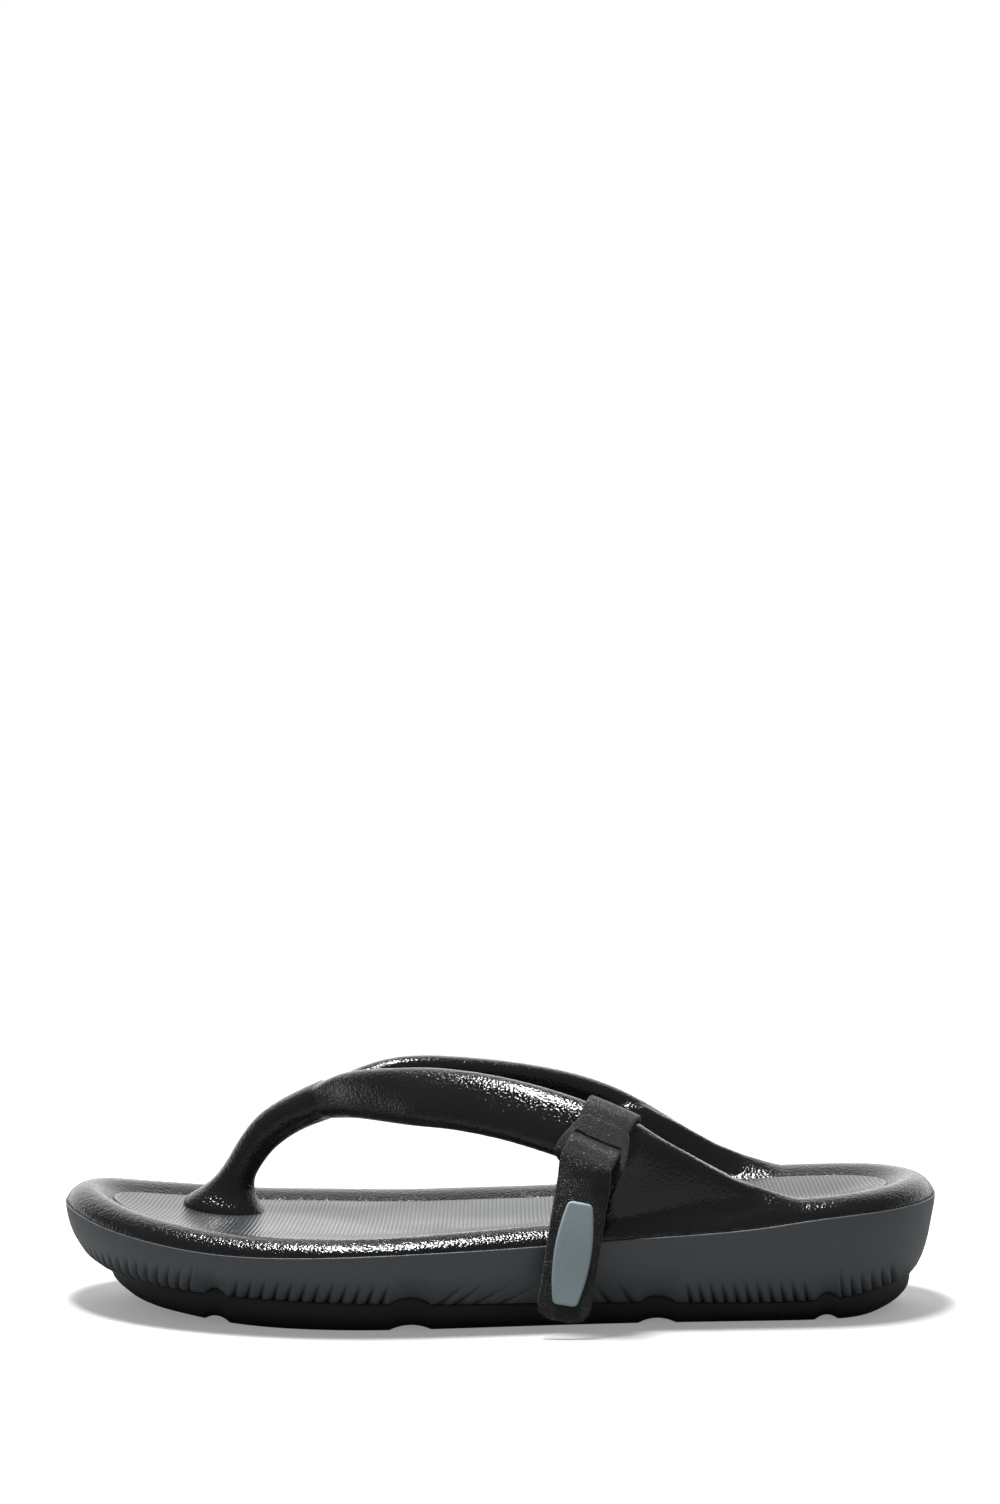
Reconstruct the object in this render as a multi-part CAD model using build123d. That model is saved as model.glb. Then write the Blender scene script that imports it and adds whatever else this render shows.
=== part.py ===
from build123d import *
import os

# A left flip flop. +X runs from the toe to the heel, -Y is the outer side of the foot, +Z is up,
# and the origin lies on the ground under the middle of the sole. All sizes are millimetres.

# Sole: plan outline at its widest level, round the sole from the toe tip along the inner side.
sole_outline = [
    (-142, 10), (-138, 25), (-127, 36.5), (-102, 47), (-64, 50.5), (-10, 43.5), (34, 38.5), (85, 39),
    (118, 34.5), (135, 22.5), (142, 3), (136, -15.5), (118, -31), (85, -37.5), (34, -41.5),
    (-10, -47.5), (-47, -50.5), (-82, -45), (-117, -29), (-136, -9),
]
# Side wall: how far the wall lies inside the outline at each height.
wall_insets = [(0, 9.0), (3, 7.4), (8, 5.6), (16, 2.6), (24, 0.3), (44, 0)]
# Side-view curves, as (x, z) points.
toe_rocker = [(-143.5, 40), (-140.7, 26.8), (-133.2, 14.5), (-124.6, 7.7), (-102, 2), (-70, 0)]
heel_rocker = [(108, 0), (121, 1.2), (131, 5.6), (137, 17.2), (140.6, 27.2), (143.5, 46)]
tread_line = [(-150, 11), (-110, 8), (0, 7.5), (100, 7.8), (150, 11)]
parting_line = [(-150, 36), (-126, 29.3), (-83, 24.6), (-30, 26), (32, 28.6), (81, 31.8), (110, 35.2),
                (150, 36.6)]
rim_crest = [(-150, 39.5), (-122, 33.2), (-62, 29.7), (-9, 31.6), (58, 36.5), (90, 39.5), (150, 43)]
footbed_line = [(-150, 36), (-97, 28), (-70, 25.9), (-35, 25.3), (0, 27), (40, 30), (90, 33.4),
                (150, 38.5)]

# Footbed pan
bevel_inset = 7.5       # the rim's crest lies this far inside the outline
bevel_drop = 3.0
dish_inset = 9.0        # where the pan starts to fall from the crest
dish_slope_inset = 5.5
dish_slope_rise = 2.2
belly_inset = 9.0       # the pan's underside, let into the midsole
belly_depth = 6.0

# Textured panel
panel_inset = 15.5
panel_thickness = 1.2

# Tread channels, as (x, width)
channels = [(-88.5, 7), (-27.5, 13), (50, 12), (104, 7)]
channel_depth = 2.6

# Strap
arm_width = 20.0
arm_thickness = 9.5
arm_corner = 4.2
# Outer arm's centreline: an arc through three points.
arc_toe_end = Vector(-24, -10, 68.9)
arc_middle = Vector(5, -24.2, 66.5)
arc_heel_end = Vector(32, -34.7, 58.8)
arm_top_direction = Vector(9, 7.5, 15.2)   # from the arm's lower edge to its upper edge, at the keeper
arm_past_keeper = 9.0
# Post sections from the footbed up to the fork, as (front edge, rear edge, width) in side view.
post_middle = 19.0
post_sections = [
    ((-104, 27), (-77.5, 23), 20),
    ((-101, 33.5), (-79.5, 30.5), 15.5),
    ((-92, 40.6), (-80.8, 38), 11.5),
    ((-86, 49.8), (-76.8, 44.6), 10.5),
    ((-78, 60), (-69.5, 51), 11),
    ((-67, 66.5), (-61.5, 55.6), 13),
    ((-57, 71.6), (-54, 58.6), 15),
]
# Arms from the fork to the wings, as (upper edge, lower edge, direction along the arm, thickness).
outer_fork = [
    ((-65, 18.5, 65), (-62, 18, 58), (1, -0.3, 0.35), 7.0),
    ((-47, 9, 73.8), (-47.5, 4, 59.4), (1, -0.8, 0.1), 9.3),
]
outer_wing = [
    ((57, -33.5, 56.2), (34.5, -37.6, 40.5), (0.55, 0.05, -0.78), 9.5),
    ((74, -32.8, 47), (33, -35.8, 35.5), (0.3, 0, -0.95), 10),
    ((96, -30.5, 35), (33, -33.5, 31.5), (0.1, 0, -1), 11),
]
inner_arm = [
    ((-65, 19.5, 65), (-62, 20, 58), (1, 0.1, 0.35), 7.0),
    ((-40, 20.5, 76), (-41, 23.5, 59.8), (1, 0.35, 0.12), 9.3),
    ((-14, 26.2, 77.2), (-16, 32.5, 60), (1, 0.3, -0.06), 9.5),
    ((13, 31.5, 73.6), (7, 37.5, 57.2), (1, 0.15, -0.25), 9.5),
    ((36, 34, 66.7), (25, 38.4, 51), (1, 0.05, -0.55), 9.5),
    ((57, 33.8, 56.2), (34.5, 37, 40.5), (0.55, 0, -0.78), 9.5),
    ((74, 33, 47), (33, 35.4, 35.5), (0.3, 0, -0.95), 10),
    ((96, 31, 35), (33, 33.4, 31.5), (0.1, 0, -1), 11),
]

# Leather keeper
strip_width = 16.0
strip_thickness = 1.8
keeper_gap = 0.4
head_top = 6.5          # the head's reach above the arm's middle
head_bottom = 9.5       # and below it
slit_drop = 4.0         # the slit lies this far below the arm's middle
slit_length = 13.0
tail_flat_length = 7.0  # the tail first lies along the head, then turns and hangs
tail_twist_length = 10.0
tail_foot = Vector(19.5, -48.7, 5.6)       # middle of the tail's lower end
label_length = 32.0
label_width = 11.5
label_end_width = 8.5
label_thickness = 0.5
label_foot_margin = 5.0

through = 70.0          # half length of a cut that runs right across the sole
degrees_per_radian = 57.29578


def outline_face(inset_at, height):
    """The sole's plan outline, moved inwards by inset_at(x), as a level face."""
    points = []
    count = len(sole_outline)
    for index in range(count):
        here = Vector(*sole_outline[index])
        ahead = Vector(*sole_outline[(index + 1) % count])
        behind = Vector(*sole_outline[index - 1])
        along = (ahead - behind).normalized()
        inward = Vector(along.Y, -along.X)
        moved = here + inward * inset_at(here.X)
        points.append((moved.X, moved.Y, height))
    return Face(Wire([Spline(*points, periodic=True)]))


def height_at(curve, x):
    """Height of a side-view curve at x."""
    for (x0, z0), (x1, z1) in zip(curve, curve[1:]):
        if x <= x1:
            return z0 + (z1 - z0) * (x - x0) / (x1 - x0)


def side_region(lower, upper):
    """The space between two side-view curves, right across the sole."""
    bottom = Spline(*lower)
    top = Spline(*upper)
    front = Line(lower[0], upper[0])
    back = Line(lower[-1], upper[-1])
    region = Plane.XZ * Face(Wire([bottom, back, top, front]))
    return extrude(region, amount=through, both=True)


def lifted(curve, amount):
    return [(x, z + amount) for x, z in curve]


def upright_block(inset):
    """A block with the outline's shape, taller than the sole."""
    return extrude(outline_face(lambda x: inset, -5), amount=70, dir=(0, 0, 1))


def sloping_block(inset_at):
    """A block whose wall lies inset_at(x, height) inside the outline."""
    levels = range(22, 50, 6)
    return loft([outline_face(lambda x: inset_at(x, level), level) for level in levels])


def bevel(x, height):
    """Inset of the rim's bevel: none at its lower edge, all of it at the crest."""
    rise = height - height_at(rim_crest, x) + bevel_drop
    return min(max(rise * bevel_inset / bevel_drop, 0), 2 * bevel_inset)


def dish_slope(x, height):
    """Inset of the pan's inner slope, from the footbed up to the crest."""
    rise = height - height_at(footbed_line, x)
    return dish_inset + dish_slope_inset * min(max(1 - rise / dish_slope_rise, 0), 1)


def sole_block():
    """The whole sole below the strap: tapered wall, toe and heel rockers, flat ground face."""
    wall = loft([outline_face(lambda x: inset, height) for height, inset in wall_insets])
    toe = Spline(*toe_rocker, tangents=[(0, -1), (1, 0)])
    heel = Spline(*heel_rocker, tangents=[(1, 0), (0, 1)])
    ground = Line(toe_rocker[-1], heel_rocker[0])
    lid = Polyline(heel_rocker[-1], (160, 60), (-160, 60), toe_rocker[0])
    rocker = Plane.XZ * Face(Wire([toe, ground, heel] + lid.edges()))
    return wall & extrude(rocker, amount=through, both=True)


def belly():
    return upright_block(belly_inset) & side_region(lifted(parting_line, -belly_depth),
                                                    lifted(parting_line, 1))


def build_outsole(block):
    ground = [(-150, -10), (150, -10)]
    tread = block & side_region(ground, tread_line)
    for x, width in channels:
        radius = width**2 / (8 * channel_depth) + channel_depth / 2
        centre = Pos(x, 0, channel_depth - radius)
        tread -= centre * Cylinder(radius, 2 * through, rotation=(90, 0, 0))
    return tread


def build_midsole(block):
    body = block & side_region(tread_line, parting_line)
    return body - belly()


def build_pan():
    """Footbed pan: bevelled rim outside, dished inside, belly below."""
    rim = sloping_block(bevel) & side_region(parting_line, rim_crest)
    dish = sloping_block(dish_slope) & side_region(footbed_line, lifted(rim_crest, 20))
    return rim + belly() - dish


def build_panel():
    return upright_block(panel_inset) & side_region(lifted(footbed_line, -panel_thickness),
                                                    footbed_line)


# Strap sections: each lies across the arm and joins its upper edge to its lower edge.

def section_plane(upper, lower, along):
    upper = Vector(*upper)
    lower = Vector(*lower)
    across = (upper - lower).normalized()
    along = Vector(*along)
    normal = (along - across * along.dot(across)).normalized()
    return Plane(origin=(upper + lower) / 2, x_dir=across, z_dir=normal)


def arm_section(upper, lower, along, thickness=arm_thickness):
    width = (Vector(*upper) - Vector(*lower)).length
    corner = min(arm_corner, thickness / 2 - 0.3)
    return section_plane(upper, lower, along) * RectangleRounded(width, thickness, corner)


def arc_frame():
    """Centre, axis and radius of the circle that the outer arm's centreline follows."""
    a = arc_toe_end
    b = arc_middle
    c = arc_heel_end
    ab = b - a
    ac = c - a
    normal = ab.cross(ac)
    to_centre = (normal.cross(ab) * ac.dot(ac) + ac.cross(normal) * ab.dot(ab)) / (2 * normal.dot(normal))
    return a + to_centre, normal.normalized(), to_centre.length


arc_centre, arc_normal, arc_radius = arc_frame()
arc_axis = Axis(arc_centre, arc_normal)


def keeper_plane():
    """Section of the outer arm in the middle of the keeper: x up the arm's face, z towards the heel."""
    outwards = (arc_heel_end - arc_centre).normalized()
    along = arc_normal.cross(outwards).normalized()
    across = (arm_top_direction - along * arm_top_direction.dot(along)).normalized()
    return Plane(origin=arc_heel_end, x_dir=across, z_dir=along)


keeper = keeper_plane()


def swing(shape, distance):
    """Move a shape along the outer arm, positive towards the heel."""
    return shape.rotate(arc_axis, distance / arc_radius * degrees_per_radian)


def along_arm(face, start, end):
    """Carry a section of the keeper's plane along the outer arm, from start to end."""
    return revolve(swing(face, start), arc_axis, (end - start) / arc_radius * degrees_per_radian)


def build_post():
    faces = []
    for (front_x, front_z), (rear_x, rear_z), width in post_sections:
        front = Vector(front_x, post_middle, front_z)
        rear = Vector(rear_x, post_middle, rear_z)
        depth = (rear - front).length
        along = (rear - front).cross(Vector(0, 1, 0))
        plane = Plane(origin=(front + rear) / 2, x_dir=rear - front, z_dir=along)
        faces.append(plane * Ellipse(depth / 2, width / 2))
    return loft(faces)


def build_outer_arm():
    section = keeper * RectangleRounded(arm_width, arm_thickness, arm_corner)
    turn = (arc_toe_end - arc_centre).get_angle(arc_heel_end - arc_centre)
    arc_length = arc_radius * turn / degrees_per_radian
    arc = along_arm(section, -arc_length, arm_past_keeper)
    fork = loft([arm_section(*row) for row in outer_fork] + [swing(section, -arc_length)])
    wing = loft([swing(section, arm_past_keeper)] + [arm_section(*row) for row in outer_wing])
    return fork + arc + wing


def build_inner_arm():
    return loft([arm_section(*row) for row in inner_arm])


def build_strap(pan, panel):
    strap = build_post() + build_outer_arm() + build_inner_arm()
    return strap - pan - panel


def band(inner_offset, outer_offset):
    """A rounded frame round the outer arm, in the keeper's section plane."""
    outer = RectangleRounded(arm_width + 2 * outer_offset, arm_thickness + 2 * outer_offset,
                             arm_corner + outer_offset)
    inner = RectangleRounded(arm_width + 2 * inner_offset, arm_thickness + 2 * inner_offset,
                             arm_corner + inner_offset)
    return keeper * (outer - inner)


def facing_out():
    """+1 or -1: which way the keeper plane's y points away from the foot."""
    return 1 if keeper.y_dir.Y < 0 else -1


outer_side = facing_out()
loop_offset = keeper_gap + strip_thickness
head_face = arm_thickness / 2 + loop_offset + strip_thickness
hinge_height = head_face + keeper_gap + strip_thickness / 2


def build_keeper_loop():
    half = strip_width / 2
    ring = along_arm(band(keeper_gap, loop_offset), -half, half)
    middle = (head_top - head_bottom) / 2
    depth = outer_side * (head_face - strip_thickness / 2 - 0.1)
    plate = keeper * Pos(middle, depth) * Rectangle(head_top + head_bottom, strip_thickness + 0.2)
    head = along_arm(plate, -half, half)
    slit = keeper * Pos(-slit_drop, outer_side * head_face) * Box(1.2, 2 * strip_thickness, slit_length)
    return ring + head - slit


def tail_planes():
    """Section planes down the tail: x across the strip, z down it."""
    top = keeper.from_local_coords(Vector(-slit_drop, outer_side * hinge_height, 0))
    first = Plane(origin=top, x_dir=keeper.z_dir, z_dir=-keeper.x_dir)
    second = first.offset(tail_flat_length)
    down = (tail_foot - second.origin).normalized()
    level = (Vector(1, 0, 0) - down * down.X).normalized()
    third = Plane(origin=second.origin + down * tail_twist_length, x_dir=level, z_dir=down)
    return first, second, third


def build_keeper_tail():
    first, second, third = tail_planes()
    section = Rectangle(strip_width, strip_thickness)
    flat = extrude(first * section, amount=tail_flat_length)
    twist = loft([second * section, third * section])
    straight = extrude(third * section, amount=(tail_foot - third.origin).length)
    bead = first * Cylinder(strip_thickness / 2, strip_width, rotation=(0, 90, 0))
    return flat + twist + straight + bead


def build_keeper_label():
    plane = tail_planes()[2]
    low = (tail_foot - plane.origin).length - label_foot_margin
    high = low - label_length
    middle = (low + high) / 2
    right = Spline((label_end_width / 2, high), (label_width / 2, middle), (label_end_width / 2, low))
    left = Spline((-label_end_width / 2, low), (-label_width / 2, middle), (-label_end_width / 2, high))
    outline = Wire([right, Line(right @ 1, left @ 0), left, Line(left @ 1, right @ 0)])
    outwards = plane.y_dir if plane.y_dir.Y < 0 else -plane.y_dir
    face = Plane(origin=plane.origin + outwards * strip_thickness / 2,
                 x_dir=plane.z_dir.cross(outwards), z_dir=outwards)
    return extrude(face * Face(outline), amount=label_thickness)


block = sole_block()
pan = build_pan()
panel = build_panel()
parts = {
    "outsole": build_outsole(block),
    "midsole": build_midsole(block),
    "footbed": pan - panel,
    "footbed_panel": panel,
    "strap": build_strap(pan, panel),
    "keeper_loop": build_keeper_loop(),
    "keeper_tail": build_keeper_tail(),
    "keeper_label": build_keeper_label(),
}

os.makedirs("parts", exist_ok=True)
for name, shape in parts.items():
    export_step(shape, f"parts/{name}.step")

hinge = tail_planes()[0]
print("keeper slide: centre", arc_centre, "axis", arc_normal, "radius", round(arc_radius, 2))
print("tail swing: at", hinge.origin, "along", keeper.z_dir)
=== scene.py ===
import bmesh
import bpy
import math
import numpy as np
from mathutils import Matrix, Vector


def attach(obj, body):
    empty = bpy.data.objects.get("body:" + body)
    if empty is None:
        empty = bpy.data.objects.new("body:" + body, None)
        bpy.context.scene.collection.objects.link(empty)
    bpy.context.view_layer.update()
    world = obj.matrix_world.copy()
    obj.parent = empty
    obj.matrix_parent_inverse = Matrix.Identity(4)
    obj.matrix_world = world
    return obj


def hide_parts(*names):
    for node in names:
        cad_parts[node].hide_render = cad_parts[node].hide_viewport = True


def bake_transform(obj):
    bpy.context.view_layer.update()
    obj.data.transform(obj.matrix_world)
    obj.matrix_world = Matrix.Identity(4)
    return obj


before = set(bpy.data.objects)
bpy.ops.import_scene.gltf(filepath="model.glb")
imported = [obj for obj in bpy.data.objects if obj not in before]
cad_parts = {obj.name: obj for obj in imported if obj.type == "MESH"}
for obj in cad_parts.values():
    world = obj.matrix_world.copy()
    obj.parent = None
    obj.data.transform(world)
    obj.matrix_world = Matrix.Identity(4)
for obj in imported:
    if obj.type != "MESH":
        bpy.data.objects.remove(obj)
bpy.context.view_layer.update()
mm = 0.001


def cubicCurve(knots, values, closed=False):
    # smooth curve through the values at these knots, returned as a function
    knots = np.asarray(knots, float)
    values = np.asarray(values, float)
    if values.ndim == 1:
        values = values[:, None]
    if closed:
        values = np.vstack([values, values[:1]])   # the last knot is the first point again
    n = len(knots)
    step = np.diff(knots)
    a = np.zeros((n, n))
    b = np.zeros((n, values.shape[1]))
    slope = np.diff(values, axis=0) / step[:, None]
    for i in range(1, n - 1):
        a[i, i - 1] = step[i - 1]
        a[i, i] = 2 * (step[i - 1] + step[i])
        a[i, i + 1] = step[i]
        b[i] = 6 * (slope[i] - slope[i - 1])
    if closed:
        a[0, 0] = 1
        a[0, -1] = -1
        a[-1, 0] = 2 * step[0]
        a[-1, 1] = step[0]
        a[-1, -2] = step[-1]
        a[-1, -1] = 2 * step[-1]
        b[-1] = 6 * (slope[0] - slope[-1])
    else:
        a[0, 0] = 1
        a[-1, -1] = 1
    bend = np.linalg.solve(a, b)

    def at(t):
        t = np.asarray(t, float)
        if closed:
            t = knots[0] + np.mod(t - knots[0], knots[-1] - knots[0])
        i = np.clip(np.searchsorted(knots, t, side="right") - 1, 0, n - 2)
        h = step[i][..., None]
        u = (t - knots[i])[..., None]
        w = h - u
        out = (bend[i] * w**3 + bend[i + 1] * u**3) / (6 * h)
        out += (values[i] / h - bend[i] * h / 6) * w + (values[i + 1] / h - bend[i + 1] * h / 6) * u
        return out[..., 0] if out.shape[-1] == 1 else out
    return at


def smooth(x):
    x = np.clip(x, 0, 1)
    return x * x * (3 - 2 * x)


def unit(v):
    v = np.asarray(v, float)
    return v / np.linalg.norm(v, axis=-1, keepdims=True)


def runLength(points):
    # distance along a line of points, from its first point
    return np.concatenate([[0], np.cumsum(np.linalg.norm(np.diff(points, axis=0), axis=1))])


sole = {
    "outline": [(-142, 10), (-138, 25), (-127, 36.5), (-102, 47), (-64, 50.5), (-10, 43.5), (34, 38.5),
                (85, 39), (118, 34.5), (135, 22.5), (142, 3), (136, -15.5), (118, -31), (85, -37.5),
                (34, -41.5), (-10, -47.5), (-47, -50.5), (-82, -45), (-117, -29), (-136, -9)],
    "parting": [(-150, 34), (-137, 31.6), (-126, 29.3), (-113, 27.3), (-96, 25.4), (-83, 24.7),
                (-61, 24.9), (-30, 26), (0, 27), (32, 28.6), (60, 30.1), (81, 31.8), (99, 34.2),
                (120, 35.7), (150, 36.6)],
    "crest": [(-150, 40.2), (-138, 38.6), (-122, 35), (-101, 31.8), (-84, 30.2), (-62, 29.7),
              (-32, 30.1), (-9, 31.4), (18, 33), (58, 36.5), (90, 39.5), (109, 40.6),
              (131, 42.2), (150, 42.8)],
    "footbed": [(-150, 35), (-127, 31), (-97, 27.6), (-70, 25.7), (-35, 25.1), (0, 26.4), (40, 29.4),
                (90, 33), (126, 35.2), (150, 38)],
    "treadLine": [(-150, 11.5), (-128, 11), (-118, 10.9), (-105, 10.3), (-88, 9.7), (-60, 9.2),
                  (-20, 8.2), (20, 7.4), (60, 6.6), (100, 6.6), (112, 7.6),
                  (122, 9.4), (133, 10.5), (150, 11)],
    "ground": [(-150, 8), (-124.6, 7), (-116, 4), (-102, 2), (-82, 0.45), (-66, 0), (106, 0), (121, 1.2),
               (134, 5.4), (150, 9)],
    # how far the wall lies inside the outline, from the tread's edge (0) up to the parting line (1)
    "sideWall": [(0, 10.8), (0.04, 9.2), (0.12, 7.6), (0.3, 5.2), (0.5, 2.9), (0.7, 1.15), (0.87, 0.25),
                 (1, 0)],
    "toeWall": [(0, 14.5), (0.05, 12), (0.21, 7.1), (0.37, 4.5), (0.52, 2.6), (0.68, 1.3), (0.84, 0.5),
                (1, 0)],
    "heelWall": [(0, 7.6), (0.11, 5.5), (0.24, 3.9), (0.365, 2.9), (0.49, 2.1), (0.75, 0.9), (0.9, 0.2),
                 (1, 0)],
    "channels": [(-88.5, 8), (-27.5, 13), (50, 12), (104, 7.5)],   # across the tread: place, width
    "channelDepth": 1.5,
    "humpRise": 2.2,
    "crestInset": 7.5,
    "dishInset": 15.0,
    "dishDrop": 2.4,
    "dishRound": 1.25,
    "dishRun": 30,        # over this distance the edge of the dish goes down to the footbed
    "panelInset": 15.6,
}


def sideCurve(name):
    points = sole[name]
    return cubicCurve([p[0] for p in points], [p[1] for p in points])


partingZ = sideCurve("parting")
crestZ = sideCurve("crest")
footbedZ = sideCurve("footbed")
groundCurve = sideCurve("ground")
treadLineZ = sideCurve("treadLine")


def groundZ(x):
    # the tread's underside never dips below the floor
    return np.maximum(groundCurve(x), 0)


def wallInset(name, u):
    points = sole[name]
    return np.interp(u, [p[0] for p in points], [p[1] for p in points])


def outlineLoop(count):
    # evenly spaced points round the sole, with outward directions and distances round it
    corners = np.array(sole["outline"], float)
    ends = np.vstack([corners, corners[:1]])
    knots = runLength(ends)
    curve = cubicCurve(knots, corners, closed=True)
    fine = np.linspace(0, knots[-1], 20001)
    path = curve(fine)
    length = runLength(path)
    around = np.arange(count) * length[-1] / count
    t = np.interp(around, length, fine)
    place = curve(t)
    along = curve(t + 0.05) - curve(t - 0.05)
    along /= np.linalg.norm(along, axis=1)[:, None]
    outward = np.stack([-along[:, 1], along[:, 0]], axis=1)
    return place, outward, around, length[-1]


def channelBump(x):
    # 1 over the middle of each cross channel, 0 away from them
    bump = np.zeros_like(x)
    for place, width in sole["channels"]:
        bump = np.maximum(bump, np.clip(1 - ((x - place) / (width / 2)) ** 2, 0, 1))
    return bump


def footSurface(x, inset):
    # height of the rim's inner slope and of the footbed, this far in from the outline
    crest = crestZ(x)
    edge = crest - sole["dishDrop"]
    slope = smooth((inset - sole["crestInset"]) / (sole["dishInset"] - sole["crestInset"]))
    rim = crest + (edge - crest) * slope ** sole["dishRound"]
    deep = smooth((inset - sole["dishInset"] + 3) / sole["dishRun"])
    return rim + (np.minimum(footbedZ(x), edge) - edge) * deep


def placeInScene(name, data, location=(0, 0, 0), rotation=(0, 0, 0)):
    obj = bpy.data.objects.new(name, data)
    bpy.context.scene.collection.objects.link(obj)
    obj.location = location
    obj.rotation_euler = rotation
    return obj


def newObject(name, vertices, faces):
    mesh = bpy.data.meshes.new(name)
    mesh.from_pydata([tuple(v) for v in vertices], [], faces)
    mesh.update()
    return placeInScene(name, mesh)


def signedVolume(vertices, faces):
    total = 0.0
    v = np.asarray(vertices)
    for face in faces:
        for i in range(1, len(face) - 1):
            total += np.dot(v[face[0]], np.cross(v[face[i]], v[face[i + 1]]))
    return total


def gridSolid(name, rows, closeRows=False, capStart=False, capEnd=False):
    # rows[i][j] is a point; rows follow each other, columns run round; faces are turned outwards
    rows = np.asarray(rows, float) * mm
    nRow, nColumn = rows.shape[:2]
    vertices = rows.reshape(-1, 3)
    faces = []
    for i in range(nRow if closeRows else nRow - 1):
        for j in range(nColumn):
            k = (i + 1) % nRow
            l = (j + 1) % nColumn
            faces.append((i * nColumn + j, i * nColumn + l, k * nColumn + l, k * nColumn + j))
    if capStart:
        faces.append(tuple(reversed(range(nColumn))))
    if capEnd:
        faces.append(tuple((nRow - 1) * nColumn + j for j in range(nColumn)))
    if signedVolume(vertices, faces) < 0:
        faces = [tuple(reversed(face)) for face in faces]
    return newObject(name, vertices, faces)


def setAttribute(obj, name, values):
    values = np.asarray(values, np.float32)
    kind = "FLOAT" if values.ndim == 1 else "FLOAT_VECTOR"
    attribute = obj.data.attributes.new(name, kind, "POINT")
    attribute.data.foreach_set("value" if kind == "FLOAT" else "vector", values.ravel())


def mergeDoubles(obj, distance=0.01 * mm):
    work = bmesh.new()
    work.from_mesh(obj.data)
    bmesh.ops.remove_doubles(work, verts=work.verts, dist=distance)
    work.to_mesh(obj.data)
    work.free()


def shadeSmooth(obj):
    obj.data.polygons.foreach_set("use_smooth", [True] * len(obj.data.polygons))
    obj.data.update()


def bakeModifiers(obj):
    # the evaluated result becomes the object's plain mesh
    bpy.context.view_layer.update()
    graph = bpy.context.evaluated_depsgraph_get()
    mesh = bpy.data.meshes.new_from_object(obj.evaluated_get(graph), preserve_all_data_layers=True,
                                           depsgraph=graph)
    obj.modifiers.clear()
    obj.data = mesh


def dress(obj, material, body, slotName, *nodes):
    if not obj.data.materials:
        obj.data.materials.append(material)
    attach(obj, body)
    if nodes:
        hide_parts(*nodes)


def newTree(name, *numbers):
    # an empty geometry tree with a geometry, a material and these numbers as its inputs
    tree = bpy.data.node_groups.new(name, "GeometryNodeTree")
    tree.interface.new_socket("Geometry", in_out="OUTPUT", socket_type="NodeSocketGeometry")
    kinds = {"Geometry": "NodeSocketGeometry", "Material": "NodeSocketMaterial", "Seed": "NodeSocketInt"}
    for label in ("Geometry", "Material", *numbers):
        tree.interface.new_socket(label, in_out="INPUT", socket_type=kinds.get(label, "NodeSocketFloat"))
    return tree, tree.nodes.new("NodeGroupInput").outputs


def useTree(obj, tree, values):
    modifier = obj.modifiers.new(tree.name, "NODES")
    modifier.node_group = tree
    for item in tree.interface.items_tree:
        if item.item_type == "SOCKET" and item.in_out == "INPUT" and item.name in values:
            modifier[item.identifier] = values[item.name]
    return modifier


def addNode(tree, kind, inputs=(), **settings):
    # inputs are fed by name or number: another node's output is linked, a value is set
    node = tree.nodes.new(kind)
    for name, value in settings.items():
        setattr(node, name, value)
    for name, value in dict(inputs).items():
        if isinstance(value, bpy.types.NodeSocket):
            tree.links.new(value, node.inputs[name])
        else:
            node.inputs[name].default_value = value
    return node


def mathNode(tree, operation, *values, clamp=False):
    node = addNode(tree, "ShaderNodeMath", enumerate(values), operation=operation, use_clamp=clamp)
    return node.outputs[0]


def times(tree, a, b, clamp=False):
    return mathNode(tree, "MULTIPLY", a, b, clamp=clamp)


def minus(tree, a, b):
    return mathNode(tree, "SUBTRACT", a, b)


def rampNode(tree, value, fromLow, fromHigh, toLow=0.0, toHigh=1.0):
    values = enumerate((value, fromLow, fromHigh, toLow, toHigh))
    return addNode(tree, "ShaderNodeMapRange", values, interpolation_type="SMOOTHSTEP").outputs[0]


def namedField(tree, name, kind="FLOAT"):
    field = addNode(tree, "GeometryNodeInputNamedAttribute", {"Name": name}, data_type=kind)
    return field.outputs["Attribute"]


def finishTree(tree, geometry, material):
    # plain faces in the piece's material
    plain = addNode(tree, "GeometryNodeRealizeInstances", {"Geometry": geometry})
    paint = addNode(tree, "GeometryNodeSetMaterial", {"Geometry": plain.outputs[0], "Material": material})
    addNode(tree, "NodeGroupOutput", {0: paint.outputs[0]})
    return tree


def moveAndShade(tree, get, offset, shade):
    # moves the points, and keeps how deep each lies in a cut or between ridges, for the material to darken there
    # as painted shade
    inputs = {"Geometry": get["Geometry"], "Name": "shade", "Value": shade}
    keep = addNode(tree, "GeometryNodeStoreNamedAttribute", inputs, data_type="FLOAT", domain="POINT")
    move = addNode(tree, "GeometryNodeSetPosition", {"Geometry": keep.outputs[0], "Offset": offset})
    return finishTree(tree, move.outputs[0], get["Material"])


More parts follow.
